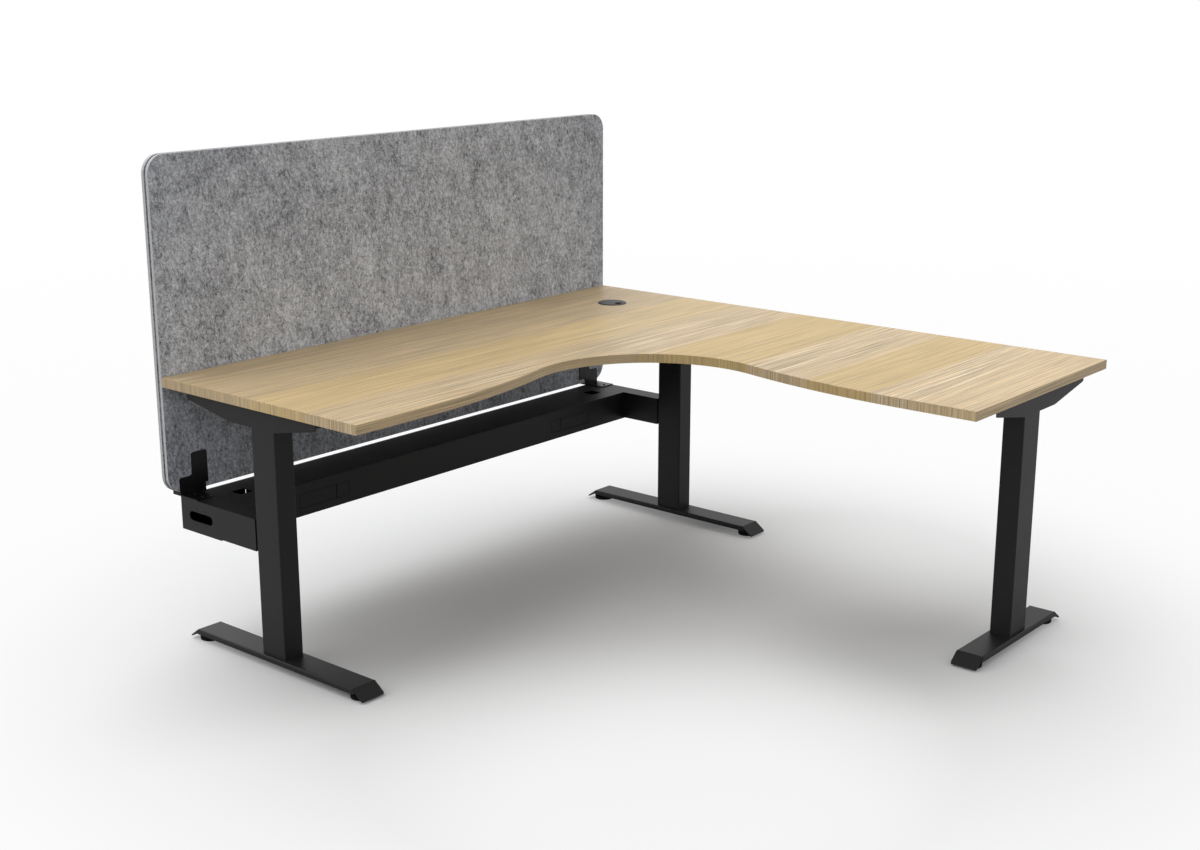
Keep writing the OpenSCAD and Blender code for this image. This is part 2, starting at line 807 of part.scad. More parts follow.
module foot(leg) {
    fold = leg[3] / 2 - nose_run;
    color("#26262a") on_leg(leg) difference() {
        union() {
            translate([-fold, 0, 0]) rotate([90, 0, 90]) linear_extrude(2 * fold) foot_section();
            for (end = [0, 180]) rotate([0, 0, end]) {
                nose(leg[3] / 2);
                for (y = [foot_t - foot_w / 2, foot_w / 2])
                    translate([fold, y, 0]) rotate([90, 0, 0]) linear_extrude(foot_t) skirt_end();
            }
        }
        for (x = [-1, 1]) translate([x * column_bolt_pitch / 2, 0, foot_h - foot_t - cut])
            cylinder(foot_t + 2 * cut, bolt_r + shank_gap, bolt_r + shank_gap);
    }
}

// Tapered end of a skirt, tucked under the flap; drawn from the fold outwards
module skirt_end() {
    slope = nose_drop / nose_run;
    top = foot_h - foot_bend_r - 1;
    polygon([[-skirt_run, skirt_low], [skirt_land, skirt_low],
             [skirt_run, foot_h - skirt_run * slope - foot_t / 2], [skirt_run / 2, top], [-skirt_run, top]]);
}

// Slanted flap at the end of a foot, with round lower corners; tip is its reach
module nose(tip) {
    fold = tip - nose_run;
    low = foot_h - nose_drop;
    half = foot_w / 2 - flap_inset;
    intersection() {
        translate([0, foot_w / 2, 0]) rotate([90, 0, 0]) linear_extrude(foot_w)
            polygon([[fold, foot_h], [tip, low],
                     [tip - foot_t * sin(nose_angle), low - foot_t * cos(nose_angle)],
                     [fold, foot_h - foot_t / cos(nose_angle)]]);
        linear_extrude(foot_h + cut) union() {
            translate([fold - nose_run, -half]) square([2 * nose_run - nose_r, 2 * half]);
            translate([fold, nose_r - half]) square([nose_run, 2 * (half - nose_r)]);
            for (y = [-1, 1]) translate([tip - nose_r, y * (half - nose_r)]) circle(nose_r);
        }
    }
}

module left_foot() {
    foot(LEFT);
}

module corner_foot() {
    foot(CORNER);
}

module return_foot() {
    foot(RETURN);
}

// Side view of a support arm: X along the foot, Y up to the underside of the top
function arm_side() =
    let (front = column_l / 2 + arm_front, rear = -column_l / 2 - arm_rear)
    let (flat = -column_l / 2 - arm_flat, half = column_l / 2, r = arm_tip_r)
    let (fa = atan((arm_h - arm_front_h) / arm_front))
    let (ra = atan((arm_h - arm_rear_h) / (arm_rear - arm_flat)))
    concat([[front, under], [rear, under]],
           arc([rear + r, under - arm_rear_h + r * (1 / cos(ra) + tan(ra))], r, 180, 270 - ra),
           [[flat, arm_bottom], [half, arm_bottom]],
           arc([front - r, under - arm_front_h + r * (1 / cos(fa) + tan(fa))], r, 270 + fa, 360));

// Support arm: a pressed channel, open below in front of and behind the column, and open at the
// front tip except on the corner leg, where an end wall carries rail B
module support_arm(leg) {
    half = column_l / 2;
    end_wall = leg == CORNER ? arm_t : -cut;
    color("#28282c") on_leg(leg) difference() {
        translate([0, column_w / 2, 0]) rotate([90, 0, 0]) linear_extrude(column_w) polygon(arm_side());
        translate([-half - arm_rear + arm_t, arm_t - column_w / 2, arm_bottom + arm_t])
            cube([arm_rear + arm_front + column_l - arm_t - end_wall, column_w - 2 * arm_t,
                  arm_h - 2 * arm_t]);
        translate([half, arm_t - column_w / 2, arm_bottom - cut])
            cube([arm_front - end_wall, column_w - 2 * arm_t, arm_h - arm_t]);
        translate([-half - arm_rear + arm_t, arm_t - column_w / 2, arm_bottom - cut])
            cube([arm_rear - arm_flat - arm_t, column_w - 2 * arm_t, arm_h - arm_t]);
        for (x = arm_screw_x) translate([x, 0, under - arm_t - cut])
            cylinder(arm_t + 2 * cut, screw_r + shank_gap, screw_r + shank_gap);
        for (x = [-1, 1]) translate([x * column_bolt_pitch / 2, 0, arm_bottom - cut])
            cylinder(arm_t + 2 * cut, bolt_r + shank_gap, bolt_r + shank_gap);
        rail_bolt_holes(leg);
    }
}

// Holes for the rails' bolts: both rails' ends on the corner leg, one end on the others
module rail_bolt_holes(leg) {
    at = leg == RETURN ? [RETURN[0] - rail_b_bolt_x] : [-rail_bolt_x, rail_bolt_x];
    translate([0, 0, rail_z]) rotate([90, 0, 0]) for (x = at)
        translate([x, 0, -column_w / 2 - cut])
            cylinder(column_w + 2 * cut, screw_r + shank_gap, screw_r + shank_gap);
    if (leg == CORNER) translate([column_l / 2 + arm_front, 0, rail_z]) rotate([0, 90, 0])
        for (s = [-1, 1]) translate([0, s * rail_b_bolt_y, -arm_t - cut])
            cylinder(arm_t + 2 * cut, screw_r + shank_gap, screw_r + shank_gap);
}

module left_support_arm() {
    support_arm(LEFT);
}

module corner_support_arm() {
    support_arm(CORNER);
}

module return_support_arm() {
    support_arm(RETURN);
}

// Levelling feet: a pad with a stem in a long nut
stem_top = foot_h - foot_t - stem_short;
module glide(leg, end) {
    color("#0c0c0e") on_leg(leg) translate([end * (leg[3] / 2 - glide_inset), 0, 0]) {
        cylinder(glide_h - glide_bevel, glide_r, glide_r, $fn = 64);
        translate([0, 0, glide_h - glide_bevel])
            cylinder(glide_bevel, glide_r, glide_r - 1.5 * glide_bevel, $fn = 64);
        cylinder(stem_top, stem_r, stem_r);
    }
}

module left_front_glide() {
    glide(LEFT, 1);
}

module left_rear_glide() {
    glide(LEFT, -1);
}

module corner_front_glide() {
    glide(CORNER, 1);
}

module corner_rear_glide() {
    glide(CORNER, -1);
}

module return_front_glide() {
    glide(RETURN, 1);
}

module return_rear_glide() {
    glide(RETURN, -1);
}

// Long nuts welded under the feet, cut back where the nose slants down
module glide_nuts() {
    z0 = glide_h + seat_gap;
    color("silver") for (leg = LEGS, end = [0, 180]) on_leg(leg) rotate([0, 0, end]) difference() {
        translate([leg[3] / 2 - glide_inset, 0, z0])
            cylinder(foot_h - foot_t - z0, nut_r, nut_r, $fn = 6);
        translate([leg[3] / 2 - glide_inset, 0, 0])
            cylinder(foot_h, stem_r + stem_gap, stem_r + stem_gap);
        translate([leg[3] / 2 - nose_run - fold_dx, -nut_r, foot_h - foot_t])
            rotate([0, nose_angle, 0]) translate([0, 0, -seat_gap]) cube([nose_run, 2 * nut_r, foot_h]);
    }
}

// Bolts up through each foot into the column's lower plug
module foot_bolts() {
    z = foot_h - foot_t;
    color("silver") for (leg = LEGS) on_leg(leg) for (x = [-1, 1])
        translate([x * column_bolt_pitch / 2, 0, z - bolt_head_h]) {
            cylinder(bolt_head_h, bolt_head_r, bolt_head_r, $fn = 6);
            cylinder(bolt_head_h + foot_t + bolt_bite, bolt_r, bolt_r);
        }
}

// Bolts down through each support arm into the column's upper plug
module column_bolts() {
    z = arm_bottom + arm_t;
    color("silver") for (leg = LEGS) on_leg(leg) for (x = [-1, 1])
        translate([x * column_bolt_pitch / 2, 0, z]) {
            cylinder(bolt_head_h, bolt_head_r, bolt_head_r, $fn = 6);
            translate([0, 0, -arm_t - bolt_bite]) cylinder(arm_t + bolt_bite + cut, bolt_r, bolt_r);
        }
}

// Wood screws from inside each support arm up into the top
module top_screws() {
    color("silver") for (leg = LEGS) on_leg(leg) for (x = arm_screw_x)
        translate([x, 0, under - arm_t]) rotate([180, 0, 0]) screw(arm_t + wood_bite);
}

// Rails: tubes with an end plate at each end, between the support arms
rail_z = under - rail_h / 2 - rail_gap;
rail_plate_h = rail_h;
rail_bolt_x = rail_w / 2 + rail_lug;
rail_plate_w = rail_w + 4 * rail_lug;
rail_b_bolt_x = CORNER[0] - rail_b_bolt_y;

module rail_tube(l) {
    difference() {
        cube([l, rail_w, rail_h], center = true);
        cube([l + cut, rail_w - 2 * rail_wall, rail_h - 2 * rail_wall], center = true);
    }
}

module rail_plate(w, bolt_y) {
    difference() {
        cube([rail_plate_t, w, rail_plate_h], center = true);
        for (s = [-1, 1]) translate([0, s * bolt_y, 0]) rotate([0, 90, 0])
            cylinder(rail_plate_t + 2 * cut, screw_r + shank_gap, screw_r + shank_gap, center = true);
    }
}

module rail_a() {
    x0 = inner_left_x;
    x1 = inner_right_x;
    color("#26262a") translate([(x0 + x1) / 2, LEFT[1], rail_z]) {
        rail_tube(x1 - x0 - 2 * rail_plate_t);
        for (s = [-1, 1]) translate([s * (x1 - x0 - rail_plate_t) / 2, 0, 0])
            rail_plate(rail_plate_w, rail_bolt_x);
    }
}

module rail_b() {
    y1 = CORNER[1] - column_l / 2 - arm_front;
    y0 = RETURN[1] + column_w / 2;
    color("#26262a") translate([CORNER[0], (y0 + y1) / 2, rail_z]) rotate([0, 0, 90]) {
        rail_tube(y1 - y0 - 2 * rail_plate_t);
        for (s = [-1, 1]) translate([s * (y1 - y0 - rail_plate_t) / 2, 0, 0])
            rail_plate(column_w, rail_b_bolt_y);
    }
}

module rail_bolts() {
    depth = arm_t + rail_plate_t;
    color("silver") {
        for (s = [-1, 1]) {
            translate([inner_left_x - arm_t, LEFT[1] + s * rail_bolt_x, rail_z])
                rotate([0, -90, 0]) screw(depth);
            translate([inner_right_x + arm_t, LEFT[1] + s * rail_bolt_x, rail_z])
                rotate([0, 90, 0]) screw(depth);
            translate([CORNER[0] + s * rail_b_bolt_y, CORNER[1] - column_l / 2 - arm_front + arm_t, rail_z])
                rotate([-90, 0, 0]) screw(depth);
        }
        translate([rail_b_bolt_x, RETURN[1] + column_w / 2 - arm_t, rail_z])
            rotate([90, 0, 0]) screw(depth);
    }
}

desktop();
edging_rear();
edging_left();
edging_outer();
edging_right();
edging_wave();
grommet_ring();
grommet_cap();
screen_front_felt();
screen_core();
screen_back_felt();
left_screen_bracket();
right_screen_bracket();
left_screen_pad();
right_screen_pad();
bracket_screws();
screen_screws();
beam_channel();
beam_lid();
left_beam_arm();
right_beam_arm();
left_beam_spacer();
right_beam_spacer();
beam_bolts();
lid_ledges();
left_wide_blank();
left_narrow_blank();
right_wide_blank();
right_narrow_blank();
left_column();
corner_column();
return_column();
left_foot();
corner_foot();
return_foot();
left_support_arm();
corner_support_arm();
return_support_arm();
left_front_glide();
left_rear_glide();
corner_front_glide();
corner_rear_glide();
return_front_glide();
return_rear_glide();
glide_nuts();
foot_bolts();
column_bolts();
top_screws();
rail_a();
rail_b();
rail_bolts();
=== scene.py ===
import math

import bmesh
import bpy
import numpy as np
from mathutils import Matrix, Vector


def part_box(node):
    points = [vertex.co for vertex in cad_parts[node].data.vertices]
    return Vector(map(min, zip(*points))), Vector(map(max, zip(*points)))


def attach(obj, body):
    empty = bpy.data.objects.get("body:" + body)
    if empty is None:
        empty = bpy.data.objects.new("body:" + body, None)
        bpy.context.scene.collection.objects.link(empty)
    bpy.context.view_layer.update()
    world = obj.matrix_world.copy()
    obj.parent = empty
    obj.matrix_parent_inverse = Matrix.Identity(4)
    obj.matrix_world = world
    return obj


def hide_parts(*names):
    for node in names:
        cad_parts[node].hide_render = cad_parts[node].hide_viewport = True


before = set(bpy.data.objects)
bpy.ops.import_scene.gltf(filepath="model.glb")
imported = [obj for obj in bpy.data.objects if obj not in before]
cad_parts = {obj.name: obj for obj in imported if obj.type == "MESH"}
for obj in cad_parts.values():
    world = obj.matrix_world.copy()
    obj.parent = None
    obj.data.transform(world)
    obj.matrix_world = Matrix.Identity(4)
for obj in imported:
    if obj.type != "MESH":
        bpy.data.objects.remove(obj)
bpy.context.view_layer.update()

# The camera stands in front of the scooped corner, a little above the desk, and looks
# down at it by fifteen degrees, as the photograph's does.
VIEW_FROM = Vector((-3.4283, -2.7303, 1.7359))
VIEW_TURN = math.radians(39.97)
VIEW_DROP = math.radians(14.89)
VIEW_ROLL = math.radians(-0.03)
camera = bpy.data.objects.new("camera", bpy.data.cameras.new("camera"))
camera.data.sensor_width = 36.0
camera.data.lens = 50.216
camera.data.clip_end = 200.0
camera.location = VIEW_FROM
camera.rotation_euler = (math.pi / 2 - VIEW_DROP, VIEW_ROLL, VIEW_TURN - math.pi / 2)
bpy.context.scene.collection.objects.link(camera)
bpy.context.scene.camera = camera
bpy.context.scene.view_settings.view_transform = "Standard"


class Tint:
    """A node's socket that takes part in Python sums; node() adds any other node."""

    def __init__(self, tree, socket):
        self.tree, self.socket = tree, socket

    def node(self, kind, settings=None, sockets=None, out=0):
        made = self.tree.nodes.new(kind)
        for key, value in (settings or {}).items():
            setattr(made, key, value)
        for key, value in (sockets or {}).items():
            if isinstance(value, Tint):
                self.tree.links.new(value.socket, made.inputs[key])
            else:
                made.inputs[key].default_value = value
        return Tint(self.tree, made.outputs[out])

    def maths(self, operation, *others):
        terms = {i: term for i, term in enumerate((self, *others))}
        return self.node("ShaderNodeMath", {"operation": operation}, terms)

    def __add__(self, other):
        return self.maths("ADD", other)

    __radd__ = __add__

    def __mul__(self, other):
        return self.maths("MULTIPLY", other)

    def __sub__(self, other):
        return self.maths("SUBTRACT", other)

    def __rsub__(self, other):
        return (self * -1.0) + other

    def __pow__(self, other):
        return self.maths("POWER", other)

    def split(self):
        return [self.node("ShaderNodeSeparateXYZ", None, {0: self}, out=i) for i in range(3)]

    def joined(self, y, z):
        return self.node("ShaderNodeCombineXYZ", None, {0: self, 1: y, 2: z})

    def between(self, low, high):
        """Nought below low and one above high, with a soft step from one to the other."""
        return self.node("ShaderNodeMapRange", {"interpolation_type": "SMOOTHSTEP"},
                         {0: self, 1: low, 2: high})

    def span(self, at_nought, at_one):
        """Runs from one value, where this is nought, to the other, where it is one."""
        return self * (at_one - at_nought) + at_nought

    def grain(self, scale, detail=3.0, rough=0.55):
        """Smooth random figure round a half, as fine as scale says, evenly or along each axis."""
        scale = scale if isinstance(scale, tuple) else (scale, scale, scale)
        at = self.node("ShaderNodeVectorMath", {"operation": "MULTIPLY"}, {0: self, 1: scale})
        return at.node("ShaderNodeTexNoise", {"normalize": True},
                       {"Vector": at, "Scale": 1.0, "Detail": detail, "Roughness": rough})

    def swing(self, amount):
        """A figure round a half turned into one round nought, this strong."""
        return (self - 0.5) * amount

    def off_line(self, inner, outer):
        """Nought on the thin lines where a figure passes a half, and one away from them."""
        return (self - 0.5).maths("ABSOLUTE").between(inner, outer)

    def blend(self, one, two):
        """Colour one where this is nought, colour two where it is one."""
        # The mixing node has its colours in inputs 6 and 7 and in output 2.
        pick = {0: self, 6: one if isinstance(one, Tint) else (*one, 1.0),
                7: two if isinstance(two, Tint) else (*two, 1.0)}
        return self.node("ShaderNodeMix", {"data_type": "RGBA"}, pick, out=2)

    def shaded(self, colour):
        """A colour made lighter or darker by this factor."""
        grey = self.joined(self, self)
        return self.node("ShaderNodeVectorMath", {"operation": "MULTIPLY"}, {0: colour, 1: grey})


def new_finish(name):
    """A material with its shader, and the place on the piece that its figure follows."""
    made = bpy.data.materials.new(name)
    made.use_nodes = True
    shader = made.node_tree.nodes["Principled BSDF"]
    where = made.node_tree.nodes.new("ShaderNodeTexCoord")
    return made, shader, Tint(made.node_tree, where.outputs["Object"])


def drive(shader, **values):
    """Link or set the shader's sockets, whose names have a low line here for each space."""
    for key, value in values.items():
        socket = shader.inputs[key.replace("_", " ")]
        if isinstance(value, Tint):
            value.tree.links.new(value.socket, socket)
        else:
            socket.default_value = value


def relief(height, distance, strength):
    """Raises the surface by a figure, by up to this distance in metres."""
    return height.node("ShaderNodeBump", None,
                       {"Strength": strength, "Distance": distance, "Height": height})


def dress(material, *names):
    """Gives CAD nodes their finish; their meshes stay as they are."""
    for name in names:
        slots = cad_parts[name].data.materials
        slots.clear()
        slots.append(material)


# The studio: a pale floor that fades into white all round, under a soft sky that is brighter
# overhead, behind the screen and to the left. The camera and the reflections see a white sky and
# a pale floor; to all other light the floor is dark, so little comes back up under the desk.
WHITE = (1.0, 1.0, 1.0, 1.0)
SKY_EVEN = 0.57
SKY_SOFT_BOX = 1.0
SOFT_BOX_AT = Vector((-0.35, 1.0, 1.0)).normalized()
SOFT_BOX_RIM = math.cos(math.radians(66))
SOFT_BOX_HEART = math.cos(math.radians(30))


def ray_kinds(tree):
    """The camera's own rays, and with them those that reflect or pass through a piece."""
    path = tree.nodes.new("ShaderNodeLightPath")
    own = Tint(tree, path.outputs["Is Camera Ray"])
    mirrored = Tint(tree, path.outputs["Is Glossy Ray"])
    refracted = Tint(tree, path.outputs["Is Transmission Ray"])
    return own, (own + mirrored + refracted).maths("MINIMUM", 1.0)


sky = bpy.data.worlds.new("studio sky")
sky.use_nodes = True
bpy.context.scene.world = sky
sky_light = sky.node_tree.nodes["Background"]
sky_light.inputs["Color"].default_value = WHITE
camera_ray, plain_white = ray_kinds(sky.node_tree)
aim = camera_ray.node("ShaderNodeTexCoord", out="Generated")
near_box = aim.node("ShaderNodeVectorMath", {"operation": "DOT_PRODUCT"},
                    {0: aim, 1: SOFT_BOX_AT}, out="Value")
glare = near_box.between(SOFT_BOX_RIM, SOFT_BOX_HEART) * SKY_SOFT_BOX
strength = plain_white + (1.0 - plain_white) * SKY_EVEN + (1.0 - camera_ray) * glare
sky.node_tree.links.new(strength.socket, sky_light.inputs["Strength"])

FLOOR_HALF = 30.0
FLOOR_SEEN = 0.885
FLOOR_BOUNCE = (0.18, 0.18, 0.18, 1.0)
floor_mesh = bpy.data.meshes.new("studio_floor")
floor_mesh.from_pydata([(-FLOOR_HALF, -FLOOR_HALF, 0.0), (FLOOR_HALF, -FLOOR_HALF, 0.0),
                        (FLOOR_HALF, FLOOR_HALF, 0.0), (-FLOOR_HALF, FLOOR_HALF, 0.0)],
                       [], [(0, 1, 2, 3)])
studio_floor = bpy.data.objects.new("studio_floor", floor_mesh)
bpy.context.scene.collection.objects.link(studio_floor)
floor_paint, _, spot = new_finish("studio floor paint")
across, along, _ = spot.split()


def pool(x, y, inner, outer, narrow=1.0):
    """One round a spot of the floor and nought outside it; narrow under one draws it out along X."""
    off_x, off_y = (across - x) * narrow, along - y
    return 1.0 - ((off_x * off_x + off_y * off_y) ** 0.5).between(inner, outer)


# Places and radii are in metres. Two spots of painted shadow darken the floor under side A and under
# the return. The floor fades out towards its rim, and two spots of painted light lift it earlier in
# front of the desk and on its right.
painted_shadow_side_a = pool(-0.50, 0.48, 0.12, 0.45, narrow=0.4) * 0.22
painted_shadow_return = pool(0.30, -0.68, 0.10, 0.50) * 0.20
near_rim = (1.0 - pool(-0.05, 0.0, 0.7, 2.1)) * 0.88
far_rim = (1.0 - pool(-0.05, 0.0, 2.0, 9.0)) * 0.12
# Painted light: these two spots lift the floor towards white in front of the desk and on its right.
painted_light_front = pool(-0.75, -0.70, 0.25, 1.0) * 0.58
painted_light_right = pool(1.15, -0.25, 0.10, 0.90) * 0.38
seen, pale = ray_kinds(floor_paint.node_tree)
# The white fade towards the rim, together with the painted light spots, is seen by the camera alone.
fade_and_painted_light = (near_rim + far_rim).maths("MAXIMUM", painted_light_front).maths("MAXIMUM", painted_light_right)
# The floor's grey, darkened by the two painted shadow spots.
grey = (1.0 - (painted_shadow_side_a + painted_shadow_return)) * FLOOR_SEEN
shown = spot.node("ShaderNodeBsdfDiffuse", None, {"Color": grey.joined(grey, grey)})
bounce = spot.node("ShaderNodeBsdfDiffuse", None, {"Color": FLOOR_BOUNCE})
glow = spot.node("ShaderNodeEmission", None, {"Color": WHITE, "Strength": 1.0})
floor_mix = spot.node("ShaderNodeMixShader", None, {0: pale, 1: bounce, 2: shown})
floor_mix = spot.node("ShaderNodeMixShader", None, {0: seen * fade_and_painted_light, 1: floor_mix, 2: glow})
floor_mesh.materials.append(floor_paint)
floor_out = floor_paint.node_tree.nodes["Material Output"]
floor_paint.node_tree.links.new(floor_mix.socket, floor_out.inputs["Surface"])

# The top: particle board with a printed oak face, cut to an L with a wave front. The print runs
# along the screen side all over, in bands of straw, honey and pale sand, and the edging strips
# carry it down. A figure's first two numbers are its fineness along the grain and across it.
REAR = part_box("edging_rear")[1].y
STRAW = (0.750, 0.557, 0.283)
HONEY = (0.672, 0.488, 0.226)
SAND = (0.690, 0.520, 0.306)
CHALK = (0.88, 0.755, 0.56)
SMOKE = (0.43, 0.310, 0.180)
STRAW_BANDS = [(0.355, 0.560), (0.800, 1.080), (1.300, 1.500)]
STREAKED_BANDS = [(0.615, 0.780), (1.085, 1.230), (1.505, 1.630)]
WANDER = (1.3, 2.6, 1.0)
RIPPLE = (5.0, 9.0, 1.0)
BROAD = (0.8, 22.0, 1.0)
STREAK = (1.2, 215.0, 1.0)
FINE = (2.6, 410.0, 1.0)
THREAD = (0.9, 80.0, 1.0)
PORE = (22.0, 900.0, 1.0)
PALE_FLECK = (1.3, 230.0, 1.0)
DARK_FLECK = (3.0, 290.0, 1.0)


def stripes(line, bands, step_in, step_out):
    """One inside each band, from its near to its far side in metres, and nought between them."""
    inside = 0.0
    for near, far in bands:
        starts = line.between(near - step_in, near + step_in)
        ends = line.between(far - step_out, far + step_out)
        inside = inside + starts * (1.0 - ends)
    return inside


def oak_print(name, edge):
    """The oak print of the face, or of the edging, with its bands counted from the rear."""
    oak, shader, place = new_finish(name)
    x, y, z = place.split()
    side, run = y * -1.0 + REAR, x
    contrast, level = 1.0, 1.01
    if edge:
        # A strip that looks along the grain carries the face's bands down. One that looks across
        # it takes its place across the grain from its height, so that fine lines run along it.
        facing = place.node("ShaderNodeTexCoord", out="Normal").split()
        end_on = facing[0].maths("ABSOLUTE") - facing[1].maths("ABSOLUTE")
        end_on = end_on.between(-0.12, 0.12)
        side = side * end_on + (1.0 - end_on) * (z * 2.2 + 0.25)
        run = x * (1.0 - end_on) + z * end_on
        contrast, level = end_on.span(1.75, 0.95), 0.94
    # The lines stray by up to a centimetre along the desk, and by a millimetre or two in between.
    stray = run.joined(side, 0.0).grain(WANDER, 2.0).swing(0.022)
    line = side + stray + run.joined(side, 4.0).grain(RIPPLE, 2.0).swing(0.005)
    lay = run.joined(line, 0.0)
    straw = stripes(line, STRAW_BANDS, 0.004, 0.005)
    streaked = stripes(line, STREAKED_BANDS, 0.02, 0.04)
    broad = lay.grain(BROAD, 3.0)
    streak = lay.grain(STREAK, 3.0, 0.72)
    fine = lay.grain(FINE, 3.0, 0.70)
    thread = lay.grain(THREAD, 2.0, 0.6).off_line(0.0, 0.05)
    pore = lay.grain(PORE, 2.0).between(0.60, 0.70)
    pale_fleck = run.joined(line, 3.0).grain(PALE_FLECK, 2.0, 0.6).between(0.56, 0.62)
    dark_fleck = run.joined(line, 7.0).grain(DARK_FLECK, 2.0, 0.6).between(0.56, 0.63)
    base = straw.blend(SAND, line.between(0.60, 0.78).blend(STRAW, HONEY))
    base = (pale_fleck * streaked.span(0.20, 1.00)).blend(base, CHALK)
    base = (dark_fleck * streaked.span(0.45, 0.75) * straw.span(1.0, 0.6)).blend(base, SMOKE)
    crisp = streaked.span(0.78, 1.28) * straw.span(1.0, 0.75) * contrast
    depth = broad.swing(straw.span(0.20, 0.36)) + (streak.swing(1.40) + fine.swing(2.0)) * crisp
    # Painted shade darkens the top along the screen, where the screen shades it, and painted light
    # lightens it towards the far end of the return.
    lighter = line.between(0.02, 0.34) * 0.07 + line.between(1.60, 1.68) * 0.05
    depth = (depth + 1.04) * (lighter + 0.93)
    depth = depth * thread.span(0.78, 1.0) * pore.span(1.0, 0.90) * level
    drive(shader, Base_Color=depth.maths("MAXIMUM", 0.15).shaded(base),
          Roughness=0.46 - fine.swing(0.2), Specular_IOR_Level=0.3,
          Normal=relief(fine * 0.6 + streak * 0.4, 0.0003, 0.35))
    return oak


oak_face = oak_print("oak print, face", False)
oak_edge = oak_print("oak print, edging", True)
dress(oak_face, "desktop")
dress(oak_edge, "edging_rear", "edging_left", "edging_outer", "edging_right", "edging_wave")

# The cable grommet: a dark moulded flange pressed into the top, with a turning cap
# of a lighter grey that has one notch for the cables.


def moulded(name, colour, rough, scale, mottle=0.5, detail=3.0, pitted=False):
    """Plastic or rubber out of a mould: one colour with fine specks, and pits if asked for."""
    plastic, shader, place = new_finish(name)
    speck = place.grain(scale, detail)
    drive(shader, Base_Color=(speck.swing(mottle) + 1.0).shaded(colour), Roughness=rough)
    if pitted:
        drive(shader, Normal=relief(speck, 0.0001, 0.3))
    return plastic, shader


ring_plastic, _ = moulded("grommet ring plastic", (0.011, 0.011, 0.011), 0.50, 900.0,
                          mottle=0.4, detail=2.0, pitted=True)
cap_plastic, _ = moulded("grommet cap plastic", (0.030, 0.030, 0.032), 0.50, 900.0,
                         mottle=0.4, detail=2.0, pitted=True)
dress(ring_plastic, "grommet_ring")
dress(cap_plastic, "grommet_cap")

# The screen: two boards of pressed grey felt with a dark core set back between them. The boards'
# edges are cut clean and their arrises are rubbed round, and their cut edges take a lighter felt
# that is partly a painted highlight, so a thin pale line shows along them.
# Each figure's numbers are its fineness along the board, through it and up it.
CLOUD = (4.5, 4.5, 3.0)
PATCH = (24.0, 24.0, 15.0)
TUFT = (115.0, 115.0, 74.0)
LOCK = (270.0, 270.0, 190.0)
FIBRE = (700.0, 700.0, 380.0)
KNOT = (75.0, 75.0, 60.0)
CURL = (30.0, 30.0, 17.0)
HAIRY = (19.0, 19.0, 9.0)
FACE_TONES = (0.93, 0.98, 1.085), (0.945, 0.99, 1.085)
CUT_TONES = (0.98, 0.98, 1.0), (1.0, 0.99, 0.99)


def felt_wool(name, shade, cut_edge):
    """Grey wool pressed flat: cloudy all over, with tufts, stray dark hairs and a few knots."""
    wool, shader, place = new_finish(name)
    x, y, z = place.split()
    lean = (x + z * 0.10).joined(y, z)
    cloud = lean.grain(CLOUD, 3.0)
    patch = lean.grain(PATCH, 3.0, 0.6)
    tuft = lean.grain(TUFT, 3.0, 0.65)
    lock = lean.grain(LOCK, 3.0, 0.7)
    fibre = lean.grain(FIBRE, 2.0, 0.65)
    cool = (patch * 0.5 + cloud * 0.5).between(0.42, 0.56)
    if cut_edge:
        level = fibre.swing(0.9) + shade
        tone = cool.blend(*CUT_TONES)
    else:
        knot = place.grain(KNOT, 1.0).between(0.28, 0.32)
        curl = 1.0 - place.grain(CURL, 1.0).off_line(0.004, 0.016)
        hair = curl * place.grain(HAIRY, 1.0).between(0.60, 0.68)
        level = cloud.swing(0.60) + patch.swing(1.00) + tuft.swing(2.0) + lock.swing(2.5)
        level = level + fibre.swing(1.5) + 1.0
        level = level * knot.span(0.65, 1.0) * hair.span(1.0, 0.58) * shade
        tone = cool.blend(*FACE_TONES)
    drive(shader, Base_Color=level.maths("MAXIMUM", 0.02).shaded(tone), Roughness=0.95,
          Specular_IOR_Level=0.1, Sheen_Weight=0.06,
          Normal=relief(fibre * 0.3 + lock * 0.4 + tuft * 0.3, 0.0012, 0.7))
    return wool


felt = felt_wool("pressed felt", 0.545, False)
# The cut edge is lighter than the face: partly paler cut fibres, partly a painted highlight.
felt_cut_edge_and_highlight = felt_wool("pressed felt, cut edge", 0.66, True)

BOARD_CORNER = 0.050
BOARD_ARRIS = 0.0016
CORNER_STEPS = 16
ARRIS_STEPS = 3


